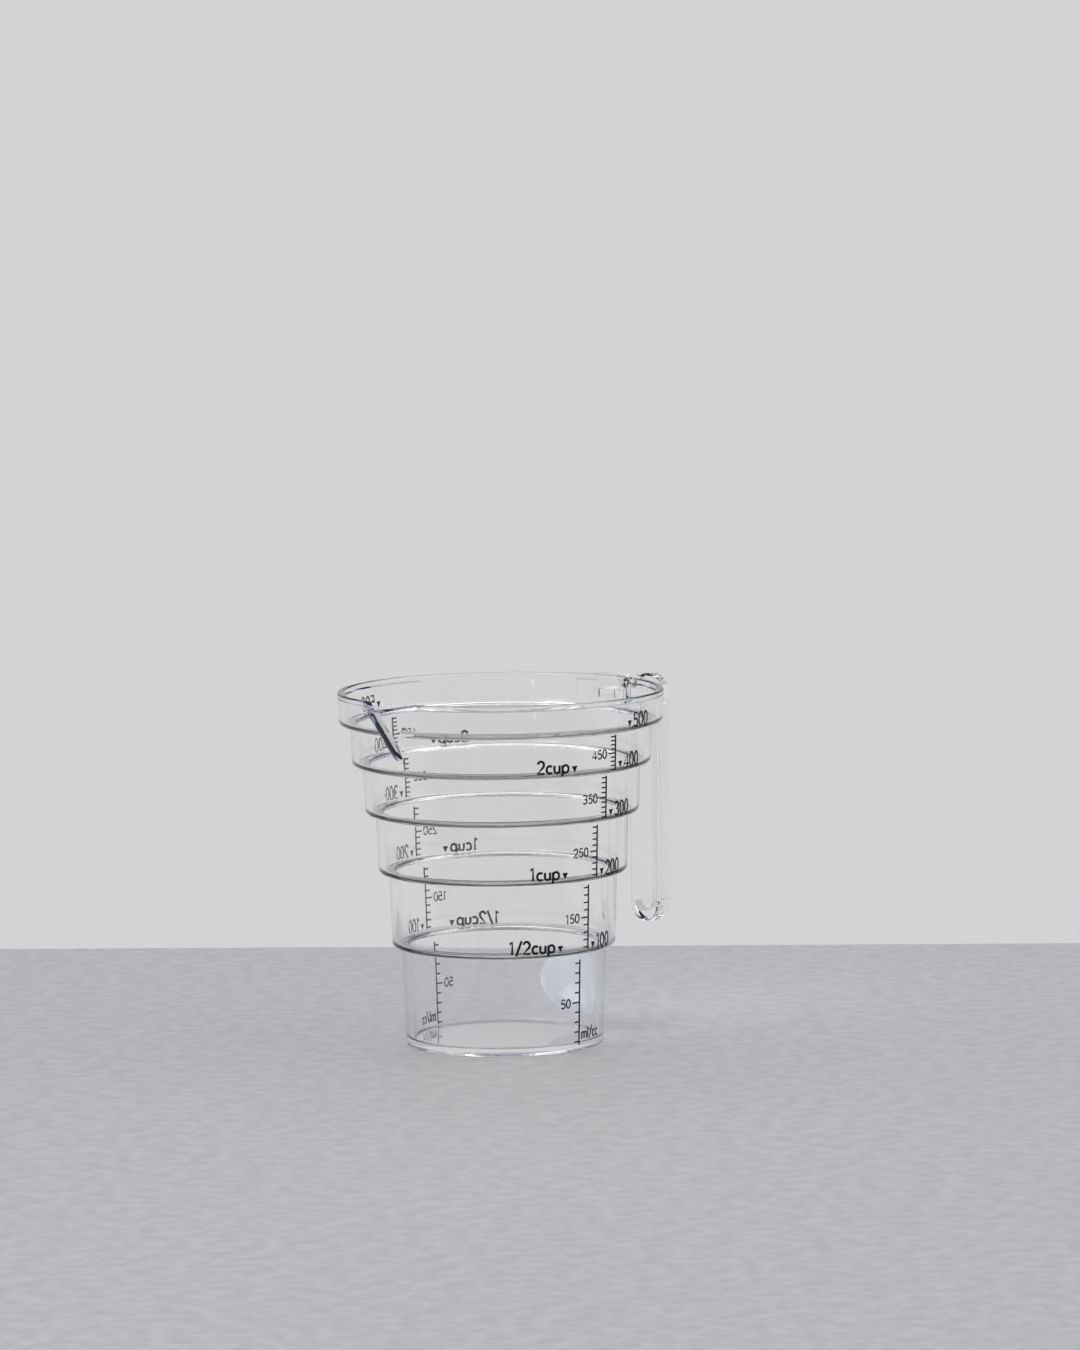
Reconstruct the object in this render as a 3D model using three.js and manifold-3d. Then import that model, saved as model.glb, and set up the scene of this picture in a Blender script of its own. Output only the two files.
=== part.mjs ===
// Clear stepped measuring cup, 500 ml, with a pouring lip and a hook handle.
// Millimetres, +Z up. The origin is the middle of the underside, on the cup's axis.
// The handle points along +X, the pouring lip along -X, and a printed scale faces -Y and +Y.
import * as THREE from "three";
import { mergeVertices } from "three/addons/utils/BufferGeometryUtils.js";
import Module from "manifold-3d";

const wasm = await Module();
wasm.setup();

// Cup: every step of the wall adds one more measure of the same volume
const STEP_VOLUME = 100000; // mm3 held by each of the measured tiers, so 100 ml
const STEP_COUNT = 5; // measured tiers, under the rim tier that stays free of liquid
const RIM_TIER_RADIUS = 54.6; // outer radius at the lower edge of the rim tier
const BASE_RADIUS = 33.3; // outer radius at the foot
const FIRST_STEP_EXTRA = 0.2; // the step over the base is this much wider than the others
const WALL = 2.5;
const FLOOR = 2.5;
const LEDGE_THICKNESS = 1.5; // the ledges are thinner than the walls
const FREEBOARD = 9.8; // height of the rim over the 500 ml ledge
const DRAFT = THREE.MathUtils.degToRad(1.8); // the walls lean out, so that the cup leaves its mould
const EDGE_ROUND = 1.7; // outer lower edge of each tier
const FOOT_ROUND = 0.8;
const LEDGE_ROUND = 0.8; // inner edges of each ledge and of the floor
const RIM_ROUND = 0.8;
const RIM_SEAT_HEIGHT = 2.1; // the inside of the wall is cut back a little just under the rim
const RIM_SEAT_DEPTH = 0.5;

// Pouring lip: a V pressed out of the rim, with its keel running down to the tier below
const LIP_HALF_ANGLE = THREE.MathUtils.degToRad(14); // half of the rim that opens into the lip
const LIP_REACH = 9.9; // the tip stands this far outside the rim
const LIP_DROP = 2.8; // the tip lies this far under the rim
const KEEL_HEIGHT = 21.5; // from the rim down to the foot of the keel
const KEEL_ROUND = 1.6; // inside the V
const KEEL_OUTER_ROUND = 4.1; // outside the V
const KEEL_OVERRUN = 3; // the V runs on this far past the keel's foot, inside the wall

// Handle: a hook with its lower end free
const FINGER_GAP = 16.5; // from the rim to the inner face of the grip
const GRIP_DEPTH = 8.2; // across the grip, away from the cup
const GRIP_WIDTH = 12.5;
const GRIP_LENGTH = 86.1;
const GRIP_TOP_DROP = 1.3; // the grip's rounded top lies this far under the rim
const GRIP_SKIN = 4.7; // solid outer part of the grip, behind its pocket
const GRIP_TOP_ROUND = 2.4; // outer edge of the grip's top
const POCKET_WALL = 2.4; // rim left beside the pocket in the grip's inner face
const POCKET_FLOOR = 3.9; // rim left under the pocket
const BRIDGE_DROP = 5.0; // the bridge's upper face lies this far under the rim
const BRIDGE_THICKNESS = 2.9;
const BRIDGE_FILLET = 8.5; // the bridge widens into the wall with this radius
const ELBOW_FILLET = 4.0; // under the bridge, where it turns down into the grip
const RIB_THICKNESS = 2.2; // ribs at both sides of the bridge, as high as the rim
const RIB_REACH = 5.5; // flat top of a rib, from the rim outwards
const RIB_ROUND = 9.5; // from a rib's flat top down to the bridge
const HANDLE_CLEARANCE = 0.15; // between the handle's root and the wall that it joins

// Printed scale, the same on both sides
const SCALE_AZIMUTHS = { near: -90, far: 90 }; // degrees from +X
const TICKS_PER_STEP = 10; // one tick for every 10 ml
const LINE_WIDTH = 0.6;
const TICK_HEIGHT = 0.4;
const SHORT_TICK = 2.2;
const LONG_TICK = 3.3;
const LINE_OVERSHOOT = 0.35; // of one tick's spacing, past the first and last tick
const POINTER_WIDTH = 1.9;
const POINTER_HEIGHT = 1.9;
const POINTER_OFFSET = 2.6; // from the scale's line to the middle of a step's pointer
const CUP_POINTER_TURN = 17.4; // degrees from the scale's line round to the left, to a cup's pointer
const CUP_POINTER_SLANT = 0.6; // degrees more for every step up
const CUP_STEPS = [1, 2, 4]; // ledges that are also half a cup, one cup and two cups
const INK_THICKNESS = 0.12;
const INK_CLEARANCE = 0.04;

// Oval paper label on the base tier, under the handle
const LABEL_LENGTH = 36; // along the wall
const LABEL_WIDTH = 23;
const LABEL_HEIGHT = 17.2; // its middle, over the table
const LABEL_AZIMUTH = -10.5; // degrees from +X: it was stuck on a little off the middle
const LABEL_THICKNESS = 0.2;
const LABEL_CLEARANCE = 0.04;

// Fineness of the round shapes
const ROUND_SEGMENTS = 56; // sides of the cup, laid so that a flat side faces each axis
const ARC_SEGMENTS = 2; // steps in the rounding of an outer edge
const LEDGE_SEGMENTS = 1; // steps in the rounding of an inner edge
const CAPSULE_SEGMENTS = 12; // steps in half a turn of the grip's ends
const CUT_MARGIN = 5; // cutting shapes reach this far past what they cut

// Worked-out sizes of the cup, from the base tier (0) to the rim tier (STEP_COUNT)
const lean = Math.tan(DRAFT);
const stepOut = (RIM_TIER_RADIUS - BASE_RADIUS - FIRST_STEP_EXTRA) / STEP_COUNT;
const footRadii = [BASE_RADIUS];
for (let tier = 1; tier <= STEP_COUNT; tier++) {
  footRadii.push(RIM_TIER_RADIUS - (STEP_COUNT - tier) * stepOut);
}

// Height of a straight cone that holds one step's volume over a floor of this radius.
function chamberHeight(floorRadius) {
  const cubed = floorRadius ** 3 + (3 * STEP_VOLUME * lean) / Math.PI;
  return (Math.cbrt(cubed) - floorRadius) / lean;
}

const tierFeet = [0]; // height of the lower outer edge of each tier
const ledges = [FLOOR]; // height of the floor, then of each ledge: the 100 ml level and so on
for (let tier = 0; tier < STEP_COUNT; tier++) {
  const thickness = tier === 0 ? FLOOR : LEDGE_THICKNESS;
  const floorRadius = footRadii[tier] + thickness * lean - WALL;
  ledges.push(ledges[tier] + chamberHeight(floorRadius));
  tierFeet.push(ledges[tier + 1] - LEDGE_THICKNESS);
}
const rimHeight = ledges[STEP_COUNT] + FREEBOARD;
tierFeet.push(rimHeight);

const outerRadius = (tier, height) => footRadii[tier] + (height - tierFeet[tier]) * lean;
const innerRadius = (tier, height) => outerRadius(tier, height) - WALL;
const rimRadius = outerRadius(STEP_COUNT, rimHeight);

// Geometry helpers

// Points of an arc in a profile, from one angle to another in quarter turns.
function arc(centreX, centreY, radius, fromTurn, toTurn, segments = ARC_SEGMENTS) {
  const points = [];
  for (let i = 0; i <= segments; i++) {
    const angle = ((fromTurn + ((toTurn - fromTurn) * i) / segments) * Math.PI) / 2;
    points.push(
      new THREE.Vector2(centreX + radius * Math.cos(angle), centreY + radius * Math.sin(angle)),
    );
  }
  return points;
}

// A profile of radius and height, turned about the cup's axis.
function turned(profile) {
  const halfSide = Math.PI / ROUND_SEGMENTS;
  const geometry = new THREE.LatheGeometry(profile, ROUND_SEGMENTS, halfSide, 2 * Math.PI);
  return geometry.rotateX(Math.PI / 2);
}

// An outline drawn in length and height, pushed along Y over this width, with its middle at Y = 0.
function acrossY(shape, width) {
  const geometry = new THREE.ExtrudeGeometry(shape, {
    depth: width,
    bevelEnabled: false,
    curveSegments: CAPSULE_SEGMENTS,
  });
  return geometry.translate(0, 0, -width / 2).rotateX(Math.PI / 2);
}

// An outline drawn in Y and Z, pushed along +X from one length to another.
function alongX(shape, fromX, toX) {
  const geometry = new THREE.ExtrudeGeometry(shape, {
    depth: toX - fromX,
    bevelEnabled: false,
    curveSegments: CAPSULE_SEGMENTS,
  });
  const axes = new THREE.Matrix4().makeBasis(
    new THREE.Vector3(0, 1, 0),
    new THREE.Vector3(0, 0, 1),
    new THREE.Vector3(1, 0, 0),
  );
  return geometry.applyMatrix4(axes).translate(fromX, 0, 0);
}

// An outline drawn in X and Y, pushed up from one height to another.
function upwards(shape, fromZ, toZ) {
  const geometry = new THREE.ExtrudeGeometry(shape, {
    depth: toZ - fromZ,
    bevelEnabled: false,
    curveSegments: CAPSULE_SEGMENTS,
  });
  return geometry.translate(0, 0, fromZ);
}

// A closed geometry as a solid that can be joined and cut.
function solid(geometry) {
  const bare = geometry.clone();
  bare.deleteAttribute("normal");
  bare.deleteAttribute("uv");
  const merged = mergeVertices(bare, 1e-4);
  return new wasm.Manifold(
    new wasm.Mesh({
      numProp: 3,
      vertProperties: merged.getAttribute("position").array,
      triVerts: new Uint32Array(merged.index.array),
    }),
  );
}

// A solid as a named mesh.
function meshOf(name, body, material) {
  const { vertProperties, triVerts } = body.getMesh();
  const geometry = new THREE.BufferGeometry();
  geometry.setAttribute("position", new THREE.BufferAttribute(vertProperties, 3));
  geometry.setIndex(new THREE.BufferAttribute(triVerts, 1));
  geometry.computeVertexNormals();
  const mesh = new THREE.Mesh(geometry, material);
  mesh.name = name;
  return mesh;
}

// Cup body

// The cup's outside, from the axis under the foot to the axis over the rim.
function outsideProfile() {
  const points = [new THREE.Vector2(0, 0)];
  for (let tier = 0; tier <= STEP_COUNT; tier++) {
    const round = tier === 0 ? FOOT_ROUND : EDGE_ROUND;
    points.push(...arc(footRadii[tier] - round, tierFeet[tier] + round, round, -1, 0));
    if (tier < STEP_COUNT) {
      const top = tierFeet[tier + 1];
      points.push(new THREE.Vector2(outerRadius(tier, top), top));
    }
  }
  points.push(...arc(rimRadius - RIM_ROUND, rimHeight - RIM_ROUND, RIM_ROUND, 0, 1));
  points.push(new THREE.Vector2(0, rimHeight));
  return points;
}

// The room inside the cup, from the axis on the floor to the axis above the rim.
function insideProfile() {
  const points = [new THREE.Vector2(0, FLOOR)];
  for (let tier = 0; tier <= STEP_COUNT; tier++) {
    const low = ledges[tier] + LEDGE_ROUND;
    points.push(
      ...arc(innerRadius(tier, low) - LEDGE_ROUND, low, LEDGE_ROUND, -1, 0, LEDGE_SEGMENTS),
    );
    if (tier < STEP_COUNT) {
      const high = ledges[tier + 1] - LEDGE_ROUND;
      points.push(
        ...arc(innerRadius(tier, high) + LEDGE_ROUND, high, LEDGE_ROUND, 2, 1, LEDGE_SEGMENTS),
      );
    }
  }
  const seatFoot = rimHeight - RIM_SEAT_HEIGHT;
  points.push(new THREE.Vector2(innerRadius(STEP_COUNT, seatFoot), seatFoot));
  const seatRadius = innerRadius(STEP_COUNT, rimHeight) + RIM_SEAT_DEPTH;
  points.push(new THREE.Vector2(seatRadius, seatFoot + RIM_SEAT_DEPTH));
  points.push(...arc(seatRadius + RIM_ROUND, rimHeight - RIM_ROUND, RIM_ROUND, 2, 1));
  points.push(new THREE.Vector2(seatRadius + RIM_ROUND, rimHeight + CUT_MARGIN));
  points.push(new THREE.Vector2(0, rimHeight + CUT_MARGIN));
  return points;
}

// The lip's main points and directions: it is a V whose two flanks meet in a straight keel.
function lipFrame() {
  const tip = new THREE.Vector3(-(rimRadius + LIP_REACH), 0, rimHeight - LIP_DROP);
  const keelFootHeight = rimHeight - KEEL_HEIGHT;
  const tierBelow = STEP_COUNT - 1;
  const keelFoot = new THREE.Vector3(-outerRadius(tierBelow, keelFootHeight), 0, keelFootHeight);
  const side = new THREE.Vector3(
    -rimRadius * Math.cos(LIP_HALF_ANGLE),
    rimRadius * Math.sin(LIP_HALF_ANGLE),
    rimHeight,
  );
  const up = tip.clone().sub(keelFoot);
  const keelLength = up.length();
  up.normalize();
  const inwards = new THREE.Vector3(up.z, 0, -up.x);
  const flank = side.clone().sub(tip);
  const halfOpening = Math.atan2(flank.y, flank.dot(inwards));
  return { tip, side, up, inwards, keelLength, halfOpening };
}

// A V-shaped bar along the keel, moved inwards by this much, from just under the keel's foot up.
function lipBar(moved, keelRound, back) {
  const { tip, up, inwards, keelLength, halfOpening } = lipFrame();
  const opening = back * Math.tan(halfOpening);
  const tangent = halfOpening / (Math.PI / 2);
  const shape = new THREE.Shape();
  shape.moveTo(back, -opening);
  for (const point of arc(keelRound / Math.sin(halfOpening), 0, keelRound, 3 - tangent, 1 + tangent)) {
    shape.lineTo(point.x, point.y);
  }
  shape.lineTo(back, opening);
  shape.closePath();
  const geometry = new THREE.ExtrudeGeometry(shape, {
    depth: KEEL_OVERRUN + keelLength + 2 * CUT_MARGIN,
    bevelEnabled: false,
  });
  const start = tip.clone().addScaledVector(up, -(keelLength + KEEL_OVERRUN));
  start.addScaledVector(inwards, moved);
  const across = new THREE.Vector3(0, 1, 0);
  const axes = new THREE.Matrix4().makeBasis(inwards, across, up).setPosition(start);
  return solid(geometry.applyMatrix4(axes));
}

// Everything under the lip's upper edge, which slopes from the rim down to the tip.
function underLipEdge() {
  const { tip, side } = lipFrame();
  const slope = (side.z - tip.z) / (side.x - tip.x);
  const farX = tip.x - CUT_MARGIN;
  const shape = new THREE.Shape();
  shape.moveTo(0, 0);
  shape.lineTo(0, rimHeight);
  shape.lineTo(side.x, rimHeight);
  shape.lineTo(farX, rimHeight + (farX - side.x) * slope);
  shape.lineTo(farX, 0);
  shape.closePath();
  return solid(acrossY(shape, 2 * rimRadius));
}

function cupBody() {
  const { halfOpening } = lipFrame();
  const wallShift = WALL / Math.sin(halfOpening);
  const back = LIP_REACH + CUT_MARGIN;
  const outside = solid(turned(outsideProfile()));
  const lip = lipBar(0, KEEL_OUTER_ROUND, back).intersect(underLipEdge());
  const room = solid(turned(insideProfile()));
  const channel = lipBar(wallShift, KEEL_ROUND, back);
  return outside.add(lip).subtract(room).subtract(channel);
}

// Handle

const gripInner = rimRadius + FINGER_GAP;
const gripOuter = gripInner + GRIP_DEPTH;
const skinInner = gripOuter - GRIP_SKIN;
const gripTop = rimHeight - GRIP_TOP_DROP;
const gripBottom = gripTop - GRIP_LENGTH;
const halfGrip = GRIP_WIDTH / 2;
const bridgeTop = rimHeight - BRIDGE_DROP;
const bridgeBottom = bridgeTop - BRIDGE_THICKNESS;
const elbowBottom = bridgeBottom - ELBOW_FILLET;
const ribEnd = rimRadius + RIB_REACH;
const ribFall = Math.acos((RIB_ROUND - BRIDGE_DROP) / RIB_ROUND); // angle of the rib's round end
const ribFoot = ribEnd + RIB_ROUND * Math.sin(ribFall);
const rootX = rimRadius - CUT_MARGIN; // inside the wall, before the root is cut to fit it

// The hook seen from the side, in length and height.
function hookShape() {
  const topRound = new THREE.Vector2(gripOuter - GRIP_TOP_ROUND, gripTop - GRIP_TOP_ROUND);
  const shape = new THREE.Shape();
  shape.moveTo(rootX, bridgeBottom);
  shape.lineTo(gripInner - ELBOW_FILLET, bridgeBottom);
  shape.absarc(gripInner - ELBOW_FILLET, elbowBottom, ELBOW_FILLET, Math.PI / 2, 0, true);
  shape.lineTo(gripInner, gripBottom);
  shape.lineTo(gripOuter, gripBottom);
  shape.lineTo(gripOuter, gripTop - GRIP_TOP_ROUND);
  shape.absarc(topRound.x, topRound.y, GRIP_TOP_ROUND, 0, Math.PI / 2, false);
  shape.lineTo(skinInner, gripTop);
  shape.lineTo(skinInner, bridgeTop);
  shape.lineTo(ribFoot, bridgeTop);
  shape.absarc(ribEnd, rimHeight - RIB_ROUND, RIB_ROUND, Math.PI / 2 - ribFall, Math.PI / 2, false);
  shape.lineTo(rootX, rimHeight);
  shape.closePath();
  return shape;
}

// The bridge from above, moved in from its sides by this much. At the cup it widens in two
// hollow rounds that run out along the wall.
function bridgePlan(inset, endX) {
  const centreY = halfGrip + BRIDGE_FILLET;
  const centreX = Math.sqrt((rimRadius + BRIDGE_FILLET) ** 2 - centreY ** 2);
  const toCentre = Math.atan2(centreY, centreX);
  const radius = BRIDGE_FILLET + inset;
  const startRadius = rimRadius - inset - CUT_MARGIN; // inside the wall
  const startX = startRadius * Math.cos(toCentre);
  const startY = startRadius * Math.sin(toCentre);
  const shape = new THREE.Shape();
  shape.moveTo(startX, -startY);
  shape.absarc(centreX, -centreY, radius, Math.PI - toCentre, Math.PI / 2, true);
  shape.lineTo(endX, -halfGrip + inset);
  shape.lineTo(endX, halfGrip - inset);
  shape.absarc(centreX, centreY, radius, -Math.PI / 2, toCentre - Math.PI, true);
  shape.lineTo(startX, startY);
  shape.closePath();
  return shape;
}

// A long shape with round ends, in width and height.
function capsule(halfWidth, bottom, top) {
  const shape = new THREE.Shape();
  shape.moveTo(halfWidth, bottom + halfWidth);
  shape.absarc(0, top - halfWidth, halfWidth, 0, Math.PI, false);
  shape.absarc(0, bottom + halfWidth, halfWidth, Math.PI, 2 * Math.PI, false);
  shape.closePath();
  return shape;
}

function handle() {
  const side = solid(acrossY(hookShape(), 2 * (halfGrip + BRIDGE_FILLET + CUT_MARGIN)));
  const insideGrip = (gripInner + skinInner) / 2;
  const bridge = solid(upwards(bridgePlan(0, insideGrip), elbowBottom, rimHeight + CUT_MARGIN));
  const grip = solid(alongX(capsule(halfGrip, gripBottom, gripTop), gripInner, gripOuter));
  const tray = solid(
    upwards(bridgePlan(RIB_THICKNESS, ribFoot), bridgeTop, rimHeight + CUT_MARGIN),
  );
  const pocketShape = capsule(halfGrip - POCKET_WALL, gripBottom + POCKET_FLOOR, elbowBottom);
  const pocket = solid(alongX(pocketShape, gripInner - CUT_MARGIN, skinInner));
  const seatLow = elbowBottom - CUT_MARGIN;
  const seatHigh = rimHeight + CUT_MARGIN;
  const wallSeat = solid(
    turned([
      new THREE.Vector2(0, seatLow),
      new THREE.Vector2(outerRadius(STEP_COUNT, seatLow) + HANDLE_CLEARANCE, seatLow),
      new THREE.Vector2(outerRadius(STEP_COUNT, seatHigh) + HANDLE_CLEARANCE, seatHigh),
      new THREE.Vector2(0, seatHigh),
    ]),
  );
  return bridge.add(grip).intersect(side).subtract(tray).subtract(pocket).subtract(wallSeat);
}

// Print and label, which lie on the outside of the wall

// A thin skin over the straight wall of one tier.
function wallSkin(tier, clearance, thickness) {
  const low = tierFeet[tier];
  const high = tierFeet[tier + 1];
  const inner = clearance;
  const outer = clearance + thickness;
  return solid(
    turned([
      new THREE.Vector2(outerRadius(tier, low) + inner, low),
      new THREE.Vector2(outerRadius(tier, low) + outer, low),
      new THREE.Vector2(outerRadius(tier, high) + outer, high),
      new THREE.Vector2(outerRadius(tier, high) + inner, high),
      new THREE.Vector2(outerRadius(tier, low) + inner, low),
    ]),
  );
}

// The piece of a skin under an outline, which is drawn as read from outside at this azimuth.
function onWall(shape, azimuth, skin) {
  const angle = THREE.MathUtils.degToRad(azimuth);
  const outwards = new THREE.Vector3(Math.cos(angle), Math.sin(angle), 0);
  const right = new THREE.Vector3(-Math.sin(angle), Math.cos(angle), 0);
  const geometry = new THREE.ExtrudeGeometry(shape, {
    depth: rimRadius,
    bevelEnabled: false,
    curveSegments: CAPSULE_SEGMENTS,
  });
  const axes = new THREE.Matrix4().makeBasis(right, new THREE.Vector3(0, 0, 1), outwards);
  geometry.applyMatrix4(axes.setPosition(outwards.clone().multiplyScalar(BASE_RADIUS / 2)));
  return solid(geometry).intersect(skin);
}

// The scale's line on one tier with its ticks, which point left.
function scaleShape(tier) {
  const spacing = (tierFeet[tier + 1] - tierFeet[tier]) / TICKS_PER_STEP;
  const tickHeight = (tick) => tierFeet[tier] + tick * spacing;
  const halfLine = LINE_WIDTH / 2;
  const halfTick = TICK_HEIGHT / 2;
  const low = tickHeight(1 - LINE_OVERSHOOT);
  const high = tickHeight(TICKS_PER_STEP - 1 + LINE_OVERSHOOT);
  const shape = new THREE.Shape();
  shape.moveTo(halfLine, low);
  shape.lineTo(halfLine, high);
  shape.lineTo(-halfLine, high);
  for (let tick = TICKS_PER_STEP - 1; tick > 0; tick--) {
    const reach = 2 * tick === TICKS_PER_STEP ? LONG_TICK : SHORT_TICK;
    shape.lineTo(-halfLine, tickHeight(tick) + halfTick);
    shape.lineTo(-reach, tickHeight(tick) + halfTick);
    shape.lineTo(-reach, tickHeight(tick) - halfTick);
    shape.lineTo(-halfLine, tickHeight(tick) - halfTick);
  }
  shape.lineTo(-halfLine, low);
  shape.closePath();
  return shape;
}

// A small triangle that points down at the ledge of its tier.
function pointerShape(tier, offset) {
  const tip = tierFeet[tier] + EDGE_ROUND;
  const shape = new THREE.Shape();
  shape.moveTo(offset, tip);
  shape.lineTo(offset + POINTER_WIDTH / 2, tip + POINTER_HEIGHT);
  shape.lineTo(offset - POINTER_WIDTH / 2, tip + POINTER_HEIGHT);
  shape.closePath();
  return shape;
}

// The label's outline, narrowed as the bent wall shows it from straight in front.
function labelShape() {
  const halfLength = BASE_RADIUS * Math.sin(LABEL_LENGTH / 2 / BASE_RADIUS);
  const shape = new THREE.Shape();
  shape.absellipse(0, LABEL_HEIGHT, halfLength, LABEL_WIDTH / 2, 0, 2 * Math.PI, false, 0);
  return shape;
}

// Materials

const clearPlastic = new THREE.MeshStandardMaterial({
  color: 0xe6e9ee,
  roughness: 0.05,
  metalness: 0,
  transparent: true,
  opacity: 0.35,
});
const blackInk = new THREE.MeshStandardMaterial({ color: 0x1b1c1e, roughness: 0.5, metalness: 0 });
const whitePaper = new THREE.MeshStandardMaterial({ color: 0xf1f1f4, roughness: 0.6, metalness: 0 });

// The measuring cup

const measuringCup = new THREE.Group();
measuringCup.add(meshOf("cup_body", cupBody(), clearPlastic));
measuringCup.add(meshOf("handle", handle(), clearPlastic));

const labelSkin = wallSkin(0, LABEL_CLEARANCE, LABEL_THICKNESS);
const label = onWall(labelShape(), LABEL_AZIMUTH, labelSkin);
measuringCup.add(meshOf("oval_label", label, whitePaper));

for (const [side, azimuth] of Object.entries(SCALE_AZIMUTHS)) {
  for (let tier = 0; tier < STEP_COUNT; tier++) {
    const line = onWall(scaleShape(tier), azimuth, wallSkin(tier, INK_CLEARANCE, INK_THICKNESS));
    measuringCup.add(meshOf(`scale_${side}_${100 * tier}_to_${100 * (tier + 1)}`, line, blackInk));
  }
  for (let tier = 1; tier <= STEP_COUNT; tier++) {
    const skin = wallSkin(tier, INK_CLEARANCE, INK_THICKNESS);
    const pointer = onWall(pointerShape(tier, POINTER_OFFSET), azimuth, skin);
    measuringCup.add(meshOf(`pointer_${side}_${100 * tier}`, pointer, blackInk));
  }
  for (const tier of CUP_STEPS) {
    const skin = wallSkin(tier, INK_CLEARANCE, INK_THICKNESS);
    const turn = azimuth - CUP_POINTER_TURN - CUP_POINTER_SLANT * tier;
    const pointer = onWall(pointerShape(tier, 0), turn, skin);
    measuringCup.add(meshOf(`cup_pointer_${side}_${tier / 2}`, pointer, blackInk));
  }
}

export default measuringCup;
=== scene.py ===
"""Clear stepped measuring cup with a pouring lip, a hook handle, printed scales and an oval label.

Sizes are in millimetres until a piece is finished; finished pieces are in metres, in the part's frame.
The origin is the middle of the underside, +Z is up and +X points to the handle.
"""

import logging
import math
from dataclasses import dataclass
from enum import Enum
from functools import cached_property
from typing import Callable, Iterable, Sequence

import bmesh
import bpy
from mathutils import Matrix, Vector


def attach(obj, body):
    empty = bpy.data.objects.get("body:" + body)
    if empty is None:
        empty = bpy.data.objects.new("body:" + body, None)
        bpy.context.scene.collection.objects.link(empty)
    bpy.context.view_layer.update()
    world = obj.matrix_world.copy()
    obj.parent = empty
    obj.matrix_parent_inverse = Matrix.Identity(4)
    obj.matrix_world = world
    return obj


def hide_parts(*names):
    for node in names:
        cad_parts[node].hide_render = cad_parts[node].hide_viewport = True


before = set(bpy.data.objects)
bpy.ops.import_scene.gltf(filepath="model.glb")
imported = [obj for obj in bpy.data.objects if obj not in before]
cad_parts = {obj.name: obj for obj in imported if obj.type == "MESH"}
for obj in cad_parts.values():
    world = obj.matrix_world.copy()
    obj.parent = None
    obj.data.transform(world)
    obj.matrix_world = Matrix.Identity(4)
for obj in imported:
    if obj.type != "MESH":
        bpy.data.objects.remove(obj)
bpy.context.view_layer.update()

MM = 0.001
BODY = "root"
SHARP_ANGLE = math.radians(32)
SEAM_GAP_MM = 0.004
TINY = 1e-5  # below this, two places are the same one
Point = tuple[float, float]
Colour = tuple[float, float, float]

log = logging.getLogger("measuring_cup")


# Shader building


@dataclass(frozen=True)
class Pattern:
    """A cloudy pattern: features per metre, finer layers, stretch along X, Y and Z, and soft limits."""

    scale: float
    detail: float
    stretch: tuple[float, float, float] = (1.0, 1.0, 1.0)
    limits: Point | None = None


class Signal:
    """A number that changes over a surface, held as the socket of a shader node."""

    def __init__(self, graph: "Graph", socket: bpy.types.NodeSocket) -> None:
        """Wraps one output socket of a node tree."""
        self.graph = graph
        self.socket = socket

    def _math(self, operation: str, first: object, second: object) -> "Signal":
        """Adds one Math node on two values or signals."""
        return self.graph.add("ShaderNodeMath", {"operation": operation}, {0: first, 1: second})

    def __add__(self, other: object) -> "Signal":
        """Adds a number or a signal."""
        return self._math("ADD", self, other)

    def __sub__(self, other: object) -> "Signal":
        """Takes a number or a signal away."""
        return self._math("SUBTRACT", self, other)

    def __mul__(self, other: object) -> "Signal":
        """Multiplies by a number or a signal."""
        return self._math("MULTIPLY", self, other)

    def __rsub__(self, other: object) -> "Signal":
        """Takes this signal away from a number."""
        return self._math("SUBTRACT", other, self)

    __radd__ = __add__
    __rmul__ = __mul__

    def smooth_step(self, low: float, high: float) -> "Signal":
        """Runs from 0 to 1 between two limits, with soft ends.

        Args:
            low: Where the result leaves 0.
            high: Where it reaches 1.

        Returns:
            The stepped signal.
        """
        settings = {"interpolation_type": "SMOOTHSTEP"}
        inputs = {"Value": self, "From Min": low, "From Max": high}
        return self.graph.add("ShaderNodeMapRange", settings, inputs)


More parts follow.
